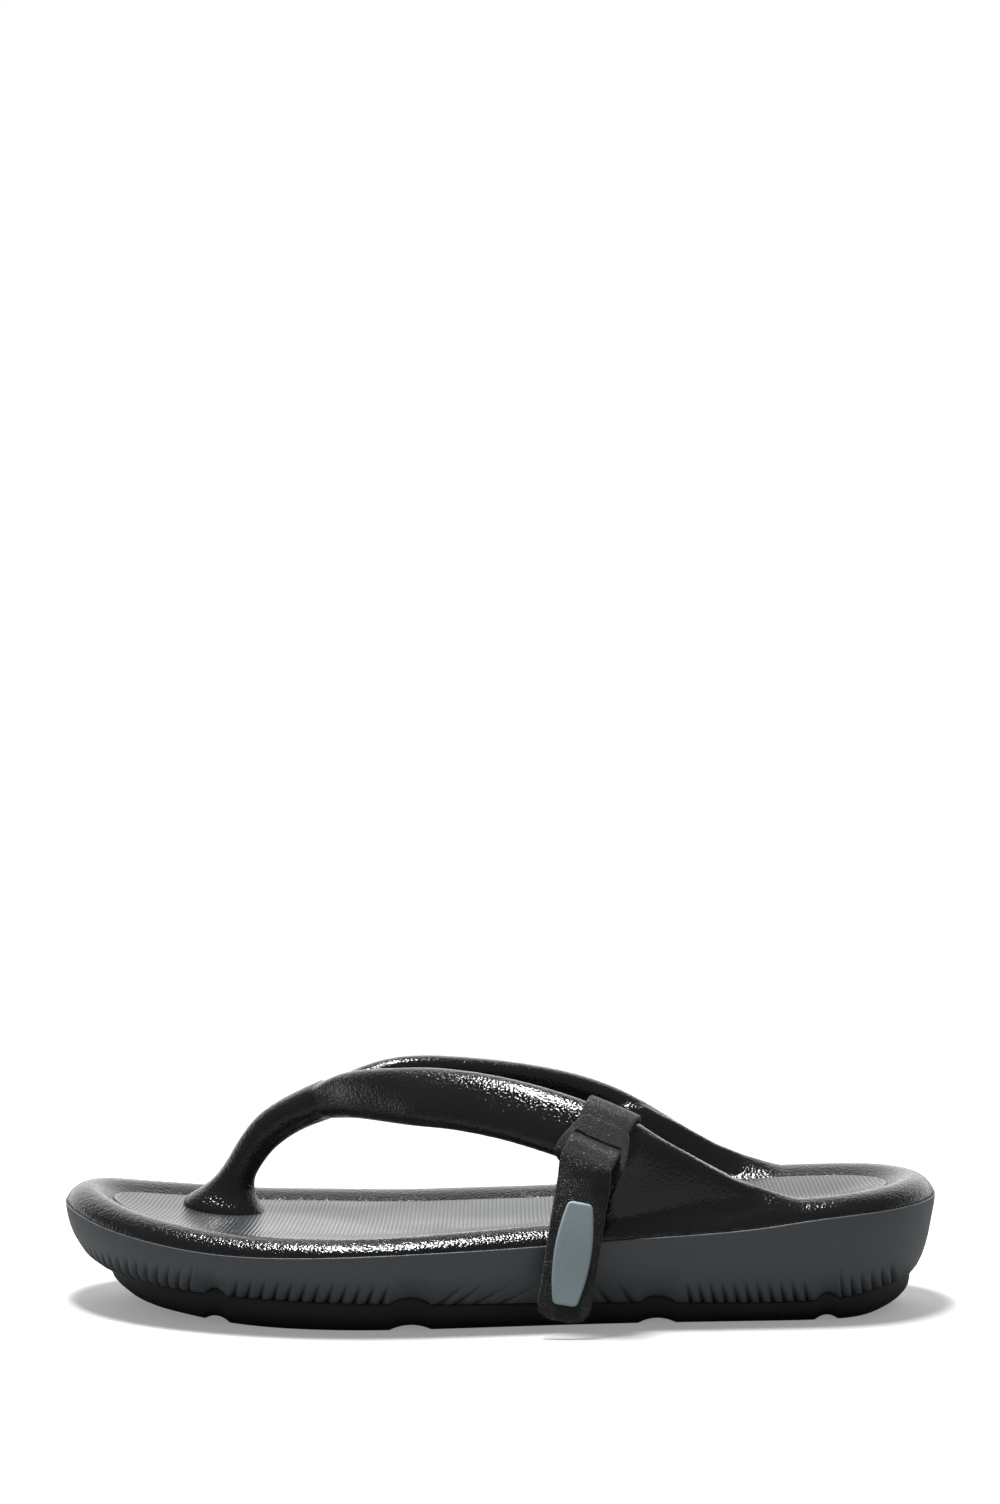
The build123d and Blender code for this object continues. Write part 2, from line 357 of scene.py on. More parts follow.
def buildSipeTree():
    # a row of slanted cuts along a wall: they start as nothing at the top and are deepest below
    tree, get = newTree("sipeRow", "Start", "Pitch", "Count", "Lean", "Reach", "Depth", "Width")
    rise = mathNode(tree, "MAXIMUM", namedField(tree, "rise"), 0.0)
    shifted = minus(tree, namedField(tree, "around"), times(tree, rise, get["Lean"]))
    cell = mathNode(tree, "DIVIDE", minus(tree, shifted, get["Start"]), get["Pitch"])
    inside = times(tree, mathNode(tree, "GREATER_THAN", cell, 0.0),
                   mathNode(tree, "LESS_THAN", cell, get["Count"]))
    offCentre = mathNode(tree, "ABSOLUTE", minus(tree, mathNode(tree, "FRACT", cell), 0.5))
    across = times(tree, offCentre, get["Pitch"])
    up = mathNode(tree, "DIVIDE", rise, get["Reach"], clamp=True)
    down = mathNode(tree, "POWER", minus(tree, 1.0, up), 1.3)
    width = times(tree, get["Width"], mathNode(tree, "MULTIPLY_ADD", down, 0.5, 0.5))
    cut = rampNode(tree, across, 0.0, width, 1.0, 0.0)
    swell = rampNode(tree, across, times(tree, width, 0.6), times(tree, get["Pitch"], 0.5), 0.0, 0.22)
    amount = times(tree, times(tree, minus(tree, cut, swell), down), times(tree, inside, get["Depth"]))
    # painted shade: how deep a point lies in a cut, for the material to darken it
    shade = times(tree, times(tree, cut, mathNode(tree, "SQRT", down)), inside, clamp=True)
    shade = mathNode(tree, "MAXIMUM", shade, namedField(tree, "shade"))
    offset = addNode(tree, "ShaderNodeVectorMath", {0: namedField(tree, "inwards", "FLOAT_VECTOR"),
                                                    "Scale": amount}, operation="SCALE")
    return moveAndShade(tree, get, offset.outputs[0], shade)


def buildRidgeTree():
    # fine ridges across a panel, fading out before its smooth border
    tree, get = newTree("ridges", "Pitch", "Height", "Border")
    turn = mathNode(tree, "DIVIDE", namedField(tree, "lengthwise"), get["Pitch"])
    wave = mathNode(tree, "COSINE", times(tree, turn, 2 * math.pi))
    crown = mathNode(tree, "POWER", mathNode(tree, "MULTIPLY_ADD", wave, 0.5, 0.5), 0.7)
    fade = rampNode(tree, namedField(tree, "fromEdge"), times(tree, get["Border"], 0.75), get["Border"])
    lift = times(tree, minus(tree, crown, 1.0), times(tree, fade, get["Height"]))
    lift = times(tree, lift, namedField(tree, "onTop"))
    offset = addNode(tree, "ShaderNodeCombineXYZ", {"Z": lift})
    # the valleys between the ridges are kept as painted shade, faded out at the border
    return moveAndShade(tree, get, offset.outputs[0], times(tree, minus(tree, 1.0, crown), fade))


def buildFibreTree():
    # short loose fibres standing out of a cut edge
    tree, get = newTree("fibres", "Density", "Length", "Thickness", "Seed")
    scatter = addNode(tree, "GeometryNodeDistributePointsOnFaces",
                      {"Mesh": get["Geometry"], "Density": get["Density"], "Seed": get["Seed"]}).outputs
    hair = addNode(tree, "GeometryNodeMeshCone", {"Vertices": 4, "Radius Top": 0.00001,
                                                  "Radius Bottom": get["Thickness"], "Depth": get["Length"]})
    tilt = addNode(tree, "FunctionNodeRandomValue", {"Min": (-0.7, -0.7, -3.1), "Max": (0.7, 0.7, 3.1),
                                                     "Seed": get["Seed"]}, data_type="FLOAT_VECTOR")
    turn = addNode(tree, "FunctionNodeRotateEuler", {"Rotation": scatter["Rotation"],
                                                     "Rotate By": tilt.outputs[0]},
                   rotation_type="EULER", space="LOCAL")
    size = addNode(tree, "FunctionNodeRandomValue", {2: 0.35, 3: 1.3, "Seed": get["Seed"]})
    place = addNode(tree, "GeometryNodeInstanceOnPoints",
                    {"Points": scatter["Points"], "Instance": hair.outputs["Mesh"],
                     "Rotation": turn.outputs[0], "Scale": size.outputs[1]})
    return finishTree(tree, place.outputs[0], get["Material"])


sipeTree = buildSipeTree()
ridgeTree = buildRidgeTree()
fibreTree = buildFibreTree()
print("node trees built")


def shaderGroup(name, inputs, outputs):
    group = bpy.data.node_groups.new(name, "ShaderNodeTree")
    for label in inputs:
        group.interface.new_socket(label, in_out="INPUT", socket_type="NodeSocketFloat")
    for label in outputs:
        group.interface.new_socket(label, in_out="OUTPUT", socket_type="NodeSocketFloat")
    where = group.nodes.new("ShaderNodeTexCoord").outputs["Object"]
    return group, where, group.nodes.new("NodeGroupInput").outputs


def noiseNode(tree, vector, scale, detail=3.0, roughness=0.5):
    return addNode(tree, "ShaderNodeTexNoise", {"Vector": vector, "Scale": scale, "Detail": detail,
                                                "Roughness": roughness}).outputs["Fac"]


def buildSkinGroup():
    # moulded foam skin: a pebbled surface, slow unevenness and dusty patches
    group, where, get = shaderGroup("foamSkin", ("Pebble size", "Pebble depth", "Swell depth"),
                                    ("Height", "Patches", "Speckle"))
    cells = addNode(group, "ShaderNodeTexVoronoi", {"Vector": where, "Scale": get["Pebble size"],
                                                    "Smoothness": 0.35}, feature="SMOOTH_F1")
    fine = noiseNode(group, where, times(group, get["Pebble size"], 1.9), 2.0)
    pebble = mathNode(group, "ADD", times(group, cells.outputs["Distance"], -0.8), times(group, fine, 0.55))
    swell = noiseNode(group, where, 55.0, 2.0)
    height = mathNode(group, "ADD", times(group, pebble, get["Pebble depth"]),
                      times(group, swell, get["Swell depth"]))
    patches = rampNode(group, noiseNode(group, where, 22.0, 4.0, 0.62), 0.38, 0.68)
    speckle = rampNode(group, noiseNode(group, where, 2600.0, 1.0), 0.35, 0.7)
    addNode(group, "NodeGroupOutput", {"Height": height, "Patches": patches, "Speckle": speckle})
    return group


def buildLeatherGroup():
    # pressed leather grain with creases
    group, where, get = shaderGroup("leatherGrain", ("Grain size", "Crease depth"), ("Height", "Tone"))
    cells = addNode(group, "ShaderNodeTexVoronoi", {"Vector": where, "Scale": get["Grain size"]},
                    feature="DISTANCE_TO_EDGE")
    plates = rampNode(group, cells.outputs["Distance"], 0.0, 0.22)
    creases = noiseNode(group, where, 320.0, 5.0, 0.65)
    height = mathNode(group, "ADD", plates, times(group, creases, get["Crease depth"]))
    tone = rampNode(group, noiseNode(group, where, 160.0, 5.0, 0.6), 0.3, 0.72)
    addNode(group, "NodeGroupOutput", {"Height": height, "Tone": tone})
    return group


foamSkin = buildSkinGroup()
leatherGrain = buildLeatherGroup()


def newMaterial(name):
    material = bpy.data.materials.new(name)
    material.use_nodes = True
    return material, material.node_tree, material.node_tree.nodes["Principled BSDF"]


def placeGroup(tree, group, values):
    return addNode(tree, "ShaderNodeGroup", values, node_tree=group).outputs


def mixColours(tree, factor, first, second):
    colours = [(*c, 1) if isinstance(c, tuple) else c for c in (first, second)]
    inputs = {"Factor": factor, "A": colours[0], "B": colours[1]}
    node = addNode(tree, "ShaderNodeMix", inputs, data_type="RGBA")
    return node.outputs["Result"]


def maskOf(tree, name):
    return addNode(tree, "ShaderNodeAttribute", attribute_name=name).outputs["Fac"]


def finishShader(tree, shader, colour, roughness, height, distance):
    bump = addNode(tree, "ShaderNodeBump", {"Strength": 1.0, "Distance": distance, "Height": height})
    tree.links.new(colour, shader.inputs["Base Color"])
    tree.links.new(roughness, shader.inputs["Roughness"])
    tree.links.new(bump.outputs["Normal"], shader.inputs["Normal"])


def foamMaterial(name, look):
    material, tree, shader = newMaterial(name)
    skin = placeGroup(tree, foamSkin, {"Pebble size": look["pebbleSize"],
                                       "Pebble depth": look["pebbleDepth"],
                                       "Swell depth": look["swellDepth"]})
    base = mixColours(tree, skin["Patches"], look["colour"], look["patchColour"])
    base = mixColours(tree, skin["Speckle"], base, look["speckleColour"])
    rough = mathNode(tree, "MULTIPLY_ADD", skin["Patches"], look["roughnessSpread"], look["roughness"])
    # painted shade: where the points lie deep in a cut or between ridges the colour goes dark
    if "recessShadeColour" in look:
        recessShade = maskOf(tree, "shade")
        base = mixColours(tree, recessShade, base, look["recessShadeColour"])
        rough = mathNode(tree, "MULTIPLY_ADD", recessShade, look["grooveRoughness"], rough)
    shader.inputs["IOR"].default_value = look["ior"]
    finishShader(tree, shader, base, rough, skin["Height"], look["bumpDistance"])
    return material


upperLook = {"colour": (0.0035, 0.0036, 0.004), "patchColour": (0.005, 0.005, 0.0055),
             "speckleColour": (0.006, 0.006, 0.0065), "roughness": 0.10, "roughnessSpread": 0.05, "ior": 1.5,
             "pebbleSize": 1050.0, "pebbleDepth": 1.0, "swellDepth": 0.5, "bumpDistance": 0.00017}
# the dark recess colour below is painted shade inside the midsole's cuts
midsoleLook = {"colour": (0.080, 0.091, 0.100), "patchColour": (0.088, 0.100, 0.109),
               "speckleColour": (0.098, 0.111, 0.121), "recessShadeColour": (0.006, 0.0065, 0.007),
               "grooveRoughness": 0.3, "roughness": 0.40, "roughnessSpread": 0.08, "ior": 1.45,
               "pebbleSize": 1600.0, "pebbleDepth": 0.8, "swellDepth": 0.6, "bumpDistance": 0.00005}
outsoleLook = {"colour": (0.006, 0.0065, 0.007), "patchColour": (0.009, 0.0095, 0.010),
               "speckleColour": (0.011, 0.0115, 0.012), "roughness": 0.55, "roughnessSpread": 0.12,
               "ior": 1.45, "pebbleSize": 1300.0, "pebbleDepth": 1.0, "swellDepth": 0.6, "bumpDistance": 0.00007}
# the dark recess colour below is painted shade between the panel's ridges
panelLook = {"colour": (0.040, 0.044, 0.047), "patchColour": (0.046, 0.050, 0.053),
             "speckleColour": (0.052, 0.056, 0.060), "recessShadeColour": (0.018, 0.020, 0.022),
             "grooveRoughness": 0.15, "roughness": 0.20, "roughnessSpread": 0.08, "ior": 1.5,
             "pebbleSize": 2200.0, "pebbleDepth": 0.8, "swellDepth": 0.3, "bumpDistance": 0.000006}
upperFoam = foamMaterial("upperFoam", upperLook)
midsoleFoam = foamMaterial("midsoleFoam", midsoleLook)
outsoleFoam = foamMaterial("outsoleFoam", outsoleLook)
panelFoam = foamMaterial("panelFoam", panelLook)

leatherLook = {"colour": (0.005, 0.0053, 0.006), "wornColour": (0.014, 0.015, 0.017),
               "edgeColour": (0.075, 0.068, 0.060), "edgeRoughness": 0.35, "roughness": 0.55,
               "roughnessSpread": -0.14, "specular": 0.4, "grainSize": 1700.0, "creaseDepth": 0.7,
               "bumpDistance": 0.00014}
labelLook = {"colour": (0.30, 0.38, 0.41), "patchColour": (0.33, 0.41, 0.44),
             "speckleColour": (0.36, 0.45, 0.48), "roughness": 0.55, "roughnessSpread": 0.1, "ior": 1.45,
             "pebbleSize": 2400.0, "pebbleDepth": 0.8, "swellDepth": 0.4, "bumpDistance": 0.00003}


def leatherMaterial(name, look):
    material, tree, shader = newMaterial(name)
    grain = placeGroup(tree, leatherGrain, {"Grain size": look["grainSize"],
                                            "Crease depth": look["creaseDepth"]})
    edge = maskOf(tree, "cutEdge")
    face = mixColours(tree, grain["Tone"], look["colour"], look["wornColour"])
    rough = mathNode(tree, "MULTIPLY_ADD", grain["Tone"], look["roughnessSpread"], look["roughness"])
    rough = mathNode(tree, "MULTIPLY_ADD", edge, look["edgeRoughness"], rough, clamp=True)
    shader.inputs["Specular IOR Level"].default_value = look["specular"]
    finishShader(tree, shader, mixColours(tree, edge, face, look["edgeColour"]), rough, grain["Height"],
                 look["bumpDistance"])
    return material


keeperLeather = leatherMaterial("keeperLeather", leatherLook)
labelPrint = foamMaterial("labelPrint", labelLook)
print("materials built")


arm = {
    "width": 20.0,
    "thickness": 9.5,
    "squareness": 2.5,      # 2 is an ellipse, more is boxier
    "arcCentre": (8.30404, 42.8107, -71.6394),   # the outer arm follows a circle
    "arcAxis": (0.429224, 0.808558, 0.402493),
    "arcRadius": 153.57,
    "arcLength": 62.0,
    "pastKeeper": 9.0,
    # upper edge, lower edge, thickness
    "outerFork": [((-65, 18.5, 65), (-62, 18, 58), 7), ((-56, 14.5, 71.2), (-54, 12.5, 58.5), 8.8),
                  ((-47, 9, 74.6), (-47.5, 4.5, 59.8), 9.3), ((-35, 0.5, 76.6), (-36, -5.5, 60), 9.5)],
    "outerWing": [((50, -33.6, 60.2), (33, -38.6, 42), 9.2), ((60, -33.2, 54.4), (35, -36.6, 34), 7.6),
                  ((70, -32.8, 48.6), (44, -34.4, 31), 5.6), ((80, -32.4, 43.4), (58, -33, 29), 4)],
    "inner": [((-65, 19.5, 65), (-62, 20, 58), 7), ((-40, 20.5, 76), (-41, 23.5, 59.8), 9.3),
              ((-14, 26.2, 76.6), (-16, 32.5, 59.4), 9.5), ((13, 31.5, 72.8), (7, 37.5, 56.4), 9.5),
              ((36, 34, 66.7), (25, 38.4, 51), 9.5), ((50, 33.6, 60.2), (33, 38, 42), 9),
              ((60, 33.2, 54.4), (35, 36, 34), 7.4), ((70, 32.6, 48.6), (44, 34, 31), 5.4),
              ((80, 32, 43.4), (58, 32.6, 29), 4)],
}
keeperOrigin = np.array([32, -34.7, 58.8])
keeperUp = unit([0.4436, 0.3997, 0.8022])       # up the arm's face
keeperOut = unit([-0.1062, -0.8653, 0.4899])
keeperAlong = unit([0.88992, -0.302469, -0.341401])   # towards the heel


def swing(points, distance):
    # carries points along the outer arm, positive towards the heel
    points = np.asarray(points, float)
    axis = unit(arm["arcAxis"])
    centre = np.asarray(arm["arcCentre"], float)
    angle = np.broadcast_to(np.asarray(distance, float) / arm["arcRadius"], points.shape[:-1])[..., None]
    p = points - centre
    turned = p * np.cos(angle) + np.cross(axis, p) * np.sin(angle)
    turned += axis * (p @ axis)[..., None] * (1 - np.cos(angle))
    return turned + centre


def crownedSection(width, thickness, squareness, count=60):
    # evenly spaced points round a strap section with a crowned face: (across, outwards)
    angle = np.linspace(0, 2 * math.pi, 361)
    c = np.cos(angle)
    s = np.sin(angle)
    power = 2 / squareness
    loop = np.stack([np.sign(c) * np.abs(c) ** power * width / 2,
                     np.sign(s) * np.abs(s) ** power * thickness / 2], axis=1)
    length = runLength(loop)
    at = np.arange(count) * length[-1] / count
    return np.stack([np.interp(at, length, loop[:, 0]), np.interp(at, length, loop[:, 1])], axis=1)


def armRows(rows, step=0.8):
    upper = np.array([row[0] for row in rows], float)
    lower = np.array([row[1] for row in rows], float)
    thick = np.array([row[2] for row in rows], float)
    middle = (upper + lower) / 2
    knots = runLength(middle)
    upperAt = cubicCurve(knots, upper)
    lowerAt = cubicCurve(knots, lower)
    at = np.linspace(0, knots[-1], int(knots[-1] / step))
    top = upperAt(at)
    low = lowerAt(at)
    across = top - low
    width = np.linalg.norm(across, axis=1)
    across = unit(across)
    along = unit(np.gradient((top + low) / 2, axis=0))
    outwards = unit(np.cross(across, along))
    thickness = np.interp(at, knots, thick)
    out = []
    for i in range(len(at)):
        section = crownedSection(width[i], thickness[i], arm["squareness"])
        centre = (top[i] + low[i]) / 2
        out.append(centre + section[:, :1] * across[i] + section[:, 1:] * outwards[i])
    return out


def outerArmRows():
    rows = list(arm["outerFork"])
    half = keeperUp * arm["width"] / 2
    for distance in np.linspace(-arm["arcLength"], arm["pastKeeper"], 9):
        top, low = swing(np.array([keeperOrigin + half, keeperOrigin - half]), distance)
        rows.append((top, low, arm["thickness"]))
    return armRows(rows + arm["outerWing"])


post = {
    "middle": 19.0,
    # front edge and rear edge in side view, width
    "sections": [((-104.5, 26), (-77, 22), 21), ((-104.2, 30.6), (-77.3, 26.6), 20.4),
                 ((-103.2, 31.8), (-78.2, 28), 18.8), ((-100, 33.8), (-79.6, 30.4), 15.6),
                 ((-96.4, 36.2), (-80.6, 33.2), 13.2), ((-92, 40.8), (-80.8, 37.2), 11.6),
                 ((-87.6, 48), (-78, 42.6), 10.6), ((-83, 54.9), (-74.3, 47.2), 10.8),
                 ((-76, 61.4), (-66.7, 52.8), 12), ((-67, 66.5), (-60, 55.8), 13.5),
                 ((-58, 70.6), (-54, 58), 14.5)],
}


def postRows():
    sections = post["sections"]
    values = np.array([(*front, *rear, width) for front, rear, width in sections], float)
    middle = (values[:, :2] + values[:, 2:4]) / 2
    knots = runLength(middle)
    at = np.linspace(0, knots[-1], 80)
    angle = np.linspace(0, 2 * math.pi, 48, endpoint=False)[:, None]
    side = np.array([0, 1.0, 0])
    rows = []
    for frontX, frontZ, rearX, rearZ, width in cubicCurve(knots, values)(at):
        front = np.array([frontX, post["middle"], frontZ])
        rear = np.array([rearX, post["middle"], rearZ])
        row = (front + rear) / 2 + np.cos(angle) * (front - rear) / 2
        rows.append(row + np.sin(angle) * side * width / 2)
    return rows


upper = {
    "samples": 1000,
    "voxel": 0.000814,
    "smoothing": 5,
    # top of the wings' web, both sides
    "webTop": [(26, 30), (29, 41), (32, 50), (37, 57), (43, 61), (49, 60), (58, 55.6), (73, 47.3),
               (83, 43.2), (92, 40.4), (100, 38.9)],
    # outer face of the rim and of the web: distance in from the outline, share of the height
    "rimFace": [(0.25, 0), (1.5, 0.42), (3, 0.70), (4.4, 0.87), (5.8, 0.96), (6.8, 0.995), (7.5, 1)],
    "webFace": [(0.25, 0), (0.9, 0.10), (2.6, 0.25), (3.4, 0.45), (4.6, 0.70), (5.6, 0.92), (7.5, 1)],
    "rimInner": [(9, 0.93), (10.5, 0.78), (12, 0.55), (13.3, 0.30), (14.2, 0.12), (15, 0)],
    "webInner": [(9.3, 0.93), (10.6, 0.70), (11.6, 0.45), (12.6, 0.20), (13.8, 0.05), (15, 0)],
}


def rimRing():
    # the rim all round the sole, drawn up into a web under each wing
    place, outward = outlineLoop(upper["samples"])[:2]
    parting = partingZ(place[:, 0])
    base = parting + 0.55

    def inX(inset):
        return place[:, 0] - outward[:, 0] * inset

    def ring(inset, height):
        inset = np.broadcast_to(inset, len(place))
        return np.column_stack([place - outward * inset[:, None], height])

    crestX = inX(sole["crestInset"])
    crest = crestZ(crestX)
    top = np.maximum(crest, np.interp(crestX, *zip(*upper["webTop"]), left=0, right=0))
    onSide = smooth((0.9 - np.abs(outward[:, 0])) / 0.2)
    top = crest + (top - crest) * onSide
    webbed = smooth((top - crest) / 12)
    edge = footSurface(inX(sole["dishInset"]), sole["dishInset"])
    rows = [ring(3.0, parting - 5), ring(1.0, parting - 0.8), ring(0.1, parting + 0.05)]
    for low, rims, webs in ((base, "rimFace", "webFace"), (edge, "rimInner", "webInner")):
        for (rimD, rimH), (webD, webH) in zip(upper[rims], upper[webs]):
            share = rimH + (webH - rimH) * webbed
            rows.append(ring(rimD + (webD - rimD) * webbed, low + (top - low) * share))
    for inset, drop in ((17, 1.3), (19, 2.0), (19, 5.0)):      # down behind the panel's edge
        rows.append(ring(inset, footSurface(inX(inset), inset) - drop))
    rows.append(ring(8, parting - 5.5))
    return rows


def joinPieces(name, pieces):
    bpy.ops.object.select_all(action="DESELECT")
    for piece in pieces:
        piece.select_set(True)
    bpy.context.view_layer.objects.active = pieces[0]
    bpy.ops.object.join()
    pieces[0].name = name
    pieces[0].data.name = name
    return pieces[0]


def makeUpper():
    # the rim, the arms and the post grow together into one skin
    pieces = [gridSolid("rim", rimRing(), closeRows=True)]
    for name, rows in (("outerArm", outerArmRows()), ("innerArm", armRows(arm["inner"])),
                       ("toePost", postRows())):
        pieces.append(gridSolid(name, rows, capStart=True, capEnd=True))
    whole = joinPieces("upper", pieces)
    remesh = whole.modifiers.new("oneSkin", "REMESH")
    remesh.mode = "VOXEL"
    remesh.voxel_size = upper["voxel"]
    remesh.use_smooth_shade = True
    relax = whole.modifiers.new("relax", "SMOOTH")
    relax.factor = 0.5
    relax.iterations = upper["smoothing"]
    bakeModifiers(whole)
    shadeSmooth(whole)
    whole.data.materials.clear()
    dress(whole, upperFoam, "sandal", "upper_foam", "footbed", "strap")
    return whole


upperPiece = makeUpper()
print("upper made,", len(upperPiece.data.polygons), "faces")


midsole = {
    "samples": 2000,
    "levels": 24,
    # start along the side, pitch, count, lean, reach above the tread, depth and half width of a cut
    "sipes": [(-85.4, 4.24, 12, 0.35, 8.0, 2.7, 1.1), (59, 3.7, 11, -0.28, 8.4, 2.7, 1.1),
              (107.8, 3.4, 6, -0.25, 9.0, 2.7, 1.1)],
    # bottom and top place of the long cuts at the arch
    "flutes": [(-18.5, -11.2), (-13.4, -5.5), (-7.7, 3.1), (0.2, 12), (35, 30), (42, 37.6)],
    "fluteCell": 7.0,
    "fluteCut": (8.2, 2.0, 1.2),      # reach, depth and half width
    "toeSipes": (1.6, 4.4, 15, 0.75, 10.5, 2.8, 1.2),     # start and pitch measured from the tip of the toe
    "toeReach": 75.0,
}


def endShares(outward):
    # how much a point of the outline belongs to the toe and to the heel
    return np.clip(-outward[:, 0], 0, 1) ** 1.5, np.clip(outward[:, 0], 0, 1) ** 1.5


def wallShape(u, outward):
    toe, heel = endShares(outward)
    side = np.clip(1 - toe - heel, 0, 1)
    inset = toe * wallInset("toeWall", u) + heel * wallInset("heelWall", u) + side * wallInset("sideWall", u)
    return inset / (toe + heel + side)


def treadEdge(place, outward):
    # inset and height of the line where the midsole meets the outsole
    inset = wallShape(0.0, outward)
    x = place[:, 0] - outward[:, 0] * inset
    return inset, treadLineZ(x) + sole["humpRise"] * channelBump(x)


def makeMidsole():
    place, outward, around, length = outlineLoop(midsole["samples"])
    lowInset, lowZ = treadEdge(place, outward)
    parting = partingZ(place[:, 0])
    rows = []

    def ring(inset, height):
        inset = np.broadcast_to(inset, len(place))
        rows.append(np.column_stack([place - outward * inset[:, None], height]))

    ring(24.0, lowZ + 2)
    ring(lowInset + 2.5, lowZ - 0.2)
    levels = np.concatenate([[0, 0.015, 0.04], np.linspace(0.07, 0.97, midsole["levels"]), [0.985, 1]])
    for u in levels:
        inset = wallShape(u, outward)
        ring(inset + 0.7 * (u == 0), lowZ + (parting - lowZ) * u)
    ring(0.9, parting + 0.05)
    ring(20.0, parting - 1)
    body = gridSolid("midsole", rows, closeRows=True)
    points = np.array(rows)
    # places along the cuts: x on the outer side, and far away numbers on the inner side and round the toe
    innerSide = 1000.0
    roundToe = 3000.0
    side = np.where(outward[:, 1] < 0, 0.0, innerSide)
    fromTip = np.abs((around - around[place[:, 0].argmin()] + length / 2) % length - length / 2)
    along = np.where(fromTip < midsole["toeReach"], roundToe + fromTip, points[:, :, 0] + side)
    setAttribute(body, "around", along.ravel())
    setAttribute(body, "rise", (points[:, :, 2] - lowZ[None]).ravel())
    inwards = np.zeros(points.shape)
    inwards[3:-3, :, :2] = -outward * mm
    setAttribute(body, "inwards", inwards.reshape(-1, 3))
    setAttribute(body, "shade", np.zeros(along.size))
    names = ("Start", "Pitch", "Count", "Lean", "Reach", "Depth", "Width")

    def cutRow(offset, start, *rest):
        useTree(body, sipeTree, dict(zip(names, (start + offset, *rest)), Material=midsoleFoam))

    cell = midsole["fluteCell"]
    for offset in (0, innerSide):
        for sipe in midsole["sipes"]:
            cutRow(offset, *sipe)
        for bottom, top in midsole["flutes"]:
            cutRow(offset, bottom - cell / 2, cell, 1, (top - bottom) / cell, *midsole["fluteCut"])
    cutRow(roundToe, *midsole["toeSipes"])
    bakeModifiers(body)
    shadeSmooth(body)
    dress(body, midsoleFoam, "sandal", "midsole_foam", "midsole")
    return body


midsolePiece = makeMidsole()
print("midsole made,", len(midsolePiece.data.polygons), "faces")


outsole = {
    "samples": 1100,
    "rings": 22,
    "edgeStep": 0.45,       # the tread stands this far behind the midsole's edge
    "spine": (-92, 104),    # the bottom's rings close on this line
}


def makeOutsole():
    place, outward = outlineLoop(outsole["samples"])[:2]
    lowInset, lowZ = treadEdge(place, outward)
    rows = []

    def ring(inset, height):
        rows.append(np.column_stack([place - outward * inset[:, None], height]))

    edge = lowInset + outsole["edgeStep"]
    toe, heel = endShares(outward)
    foot = edge + 1.9 + 2.4 * toe + 1.2 * heel
    x = place[:, 0] - outward[:, 0] * foot
    floor = groundZ(x) + channelBump(x) * sole["channelDepth"]
    spine = np.column_stack([np.clip(x, *outsole["spine"]), np.zeros(len(x)), np.full(len(x), 9.0)])
    rows.append(spine)
    ring(edge + 8, lowZ + 0.6)
    ring(edge + 1, lowZ + 0.4)
    for share, step in ((0.0, 0.13), (0.07, 0.0), (0.2, 0.0), (0.4, 0.05), (0.6, 0.14), (0.8, 0.36),
                        (0.93, 0.62)):
        ring(edge + (foot - edge) * step, lowZ + (floor - lowZ) * share)
    rim = place - outward * foot[:, None]
    for t in np.linspace(0, 1, outsole["rings"]) ** 0.9:
        flat = rim + (spine[:, :2] - rim) * t
        height = groundZ(flat[:, 0]) * (1 - 0.6 * t) + channelBump(flat[:, 0]) * sole["channelDepth"]
        rows.append(np.column_stack([flat, height]))
    body = gridSolid("outsole", rows)
    body.data.validate()
    mergeDoubles(body)
    shadeSmooth(body)
    dress(body, outsoleFoam, "sandal", "outsole_foam", "outsole")
    return body


outsolePiece = makeOutsole()
print("outsole made,", len(outsolePiece.data.polygons), "faces")


panel = {
    "samples": 1600,
    "stations": 1100,
    "across": 30,
    "proud": 0.25,
    "ridgePitch": 1.35,
    "ridgeHeight": 0.17,
    "border": 1.3,
    "fan": 0.0005,       # how much the ridges fan out from the middle of the sole
}


def insetOf(points, place):
    # distance of each point in from the outline
    out = np.empty(len(points))
    for start in range(0, len(points), 2000):
        part = points[start:start + 2000]
        out[start:start + 2000] = np.sqrt(((part[:, None] - place[None]) ** 2).sum(2).min(1))
    return out


